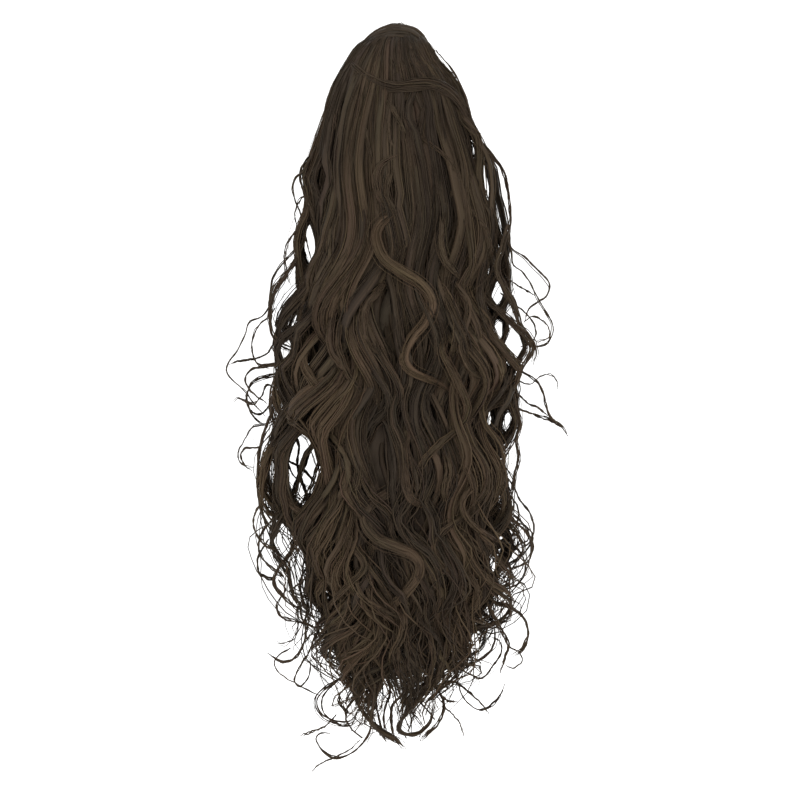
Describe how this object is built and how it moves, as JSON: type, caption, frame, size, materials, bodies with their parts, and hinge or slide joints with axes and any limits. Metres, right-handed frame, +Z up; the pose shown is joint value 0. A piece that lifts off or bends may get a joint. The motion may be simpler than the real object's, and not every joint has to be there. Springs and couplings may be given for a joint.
{
  "type": "curly claw-clip ponytail hairpiece",
  "caption": "Long dark brown wavy ponytail hairpiece, domed over a hidden toothed claw clip that grips the wearer's gathered hair.",
  "frame": {"origin": "middle of the clip's mouth, between the tips of its teeth, where it grips the gathered hair", "axes": "+Z up along the hang of the hair, +Y out of the mouth towards the head, +X to the right seen from the front of the hair"},
  "size_m": [0.2478, 0.1099, 0.5901],
  "materials": {
    "clip_plastic": "dark brown moulded plastic, satin",
    "crown_strands": "dark brown synthetic hair combed over the clip, low satin sheen along the strands",
    "fall_strands": "dark brown curly synthetic hair, low satin sheen, lighter on the crests of the waves"
  },
  "bodies": {
    "root": {"claw_clip": "clip_plastic", "crown_hair": "crown_strands", "fall_hair": "fall_strands"}
  },
  "joints": []
}
